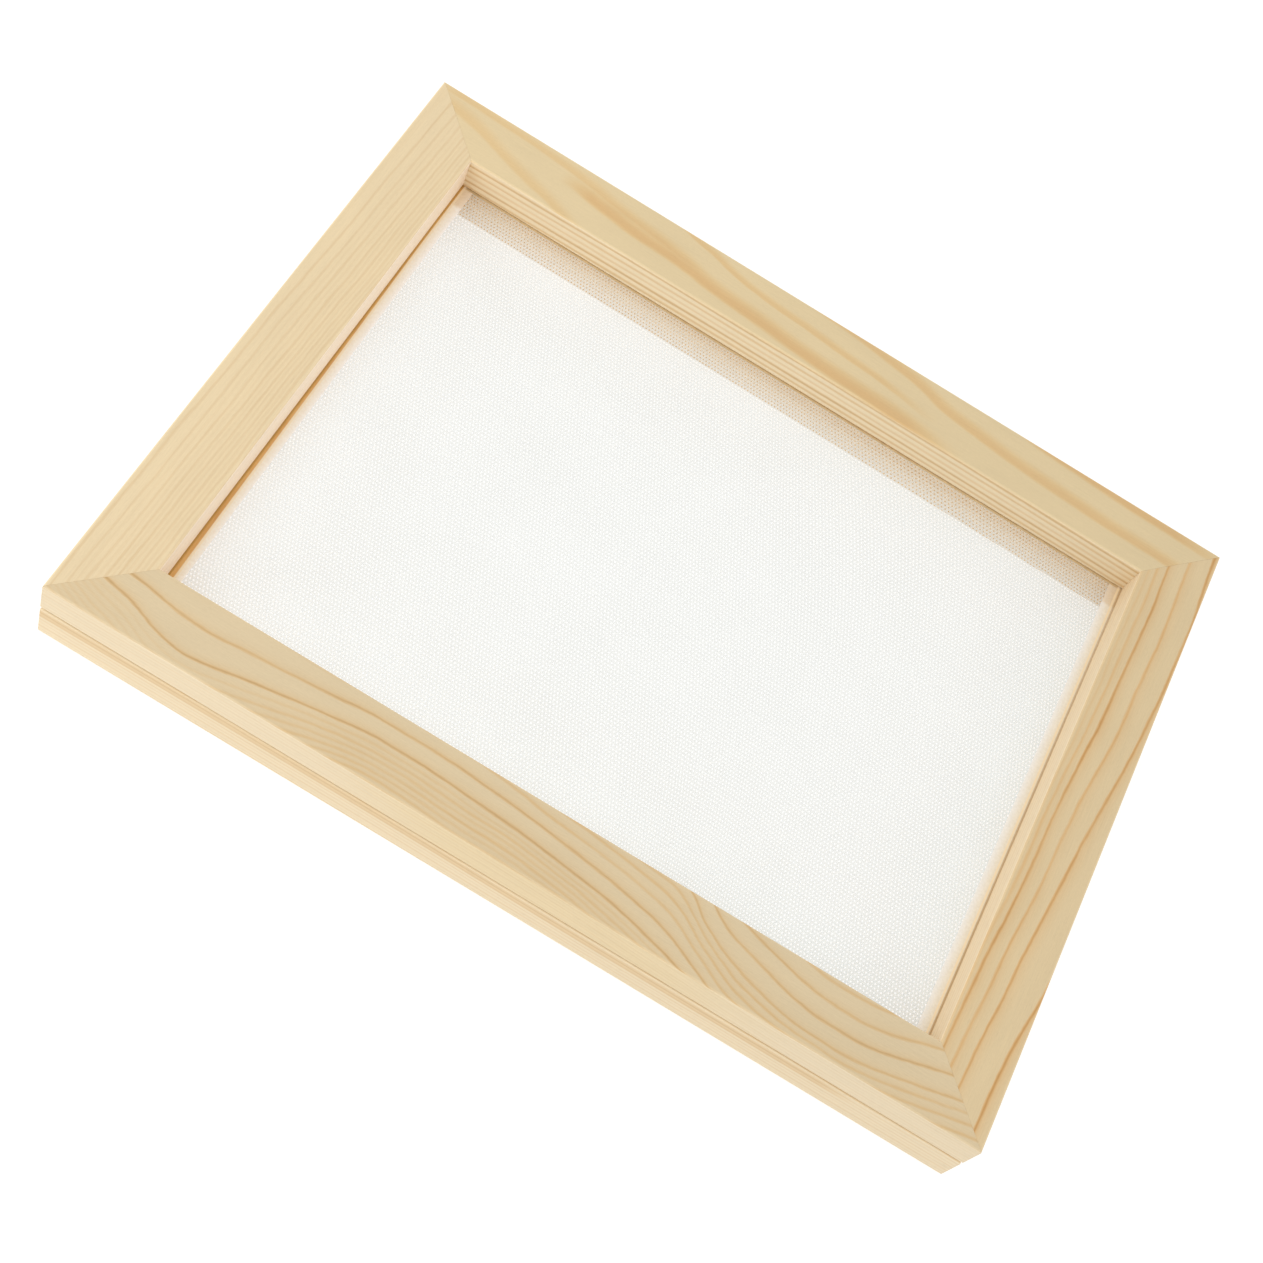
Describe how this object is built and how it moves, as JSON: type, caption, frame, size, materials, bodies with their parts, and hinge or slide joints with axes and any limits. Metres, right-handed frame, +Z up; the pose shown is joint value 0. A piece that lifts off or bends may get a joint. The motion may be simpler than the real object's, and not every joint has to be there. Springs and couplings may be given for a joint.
{
  "type": "papermaking mould and deckle screen frame",
  "caption": "Two flush rectangular pine frames stacked, the lower with a white net stretched over its top, the upper plain and lifting off.",
  "frame": {"origin": "centre of the footprint, on the surface the lower frame rests on", "axes": "+X along the long rails, +Y across the frame towards the far long rail, +Z up through the stack"},
  "size_m": [0.25, 0.19, 0.023],
  "materials": {
    "mould_pine": "planed, unvarnished",
    "deckle_pine": "planed, unvarnished",
    "nail_steel": "plain",
    "mesh": "open knitted net",
    "amber_glue": "satin"
  },
  "bodies": {
    "mould": {"mould_rail_near": "mould_pine", "mould_rail_right": "mould_pine", "mould_rail_far": "mould_pine", "mould_rail_left": "mould_pine", "mould_vnail_near_left_outer": "nail_steel", "mould_vnail_near_left_inner": "nail_steel", "mould_vnail_near_right_outer": "nail_steel", "mould_vnail_near_right_inner": "nail_steel", "mould_vnail_far_right_outer": "nail_steel", "mould_vnail_far_right_inner": "nail_steel", "mould_vnail_far_left_outer": "nail_steel", "mould_vnail_far_left_inner": "nail_steel", "screen_mesh": "mesh", "mesh_glue_line": "amber_glue"},
    "deckle": {"deckle_rail_near": "deckle_pine", "deckle_rail_right": "deckle_pine", "deckle_rail_far": "deckle_pine", "deckle_rail_left": "deckle_pine", "deckle_vnail_near_left_outer": "nail_steel", "deckle_vnail_near_left_inner": "nail_steel", "deckle_vnail_near_right_outer": "nail_steel", "deckle_vnail_near_right_inner": "nail_steel", "deckle_vnail_far_right_outer": "nail_steel", "deckle_vnail_far_right_inner": "nail_steel", "deckle_vnail_far_left_outer": "nail_steel", "deckle_vnail_far_left_inner": "nail_steel"}
  },
  "joints": [
    {"name": "deckle_lift", "type": "slide", "parent": "mould", "child": "deckle", "axis": [0, 0, 1], "range_m": [0, 0.06]}
  ]
}
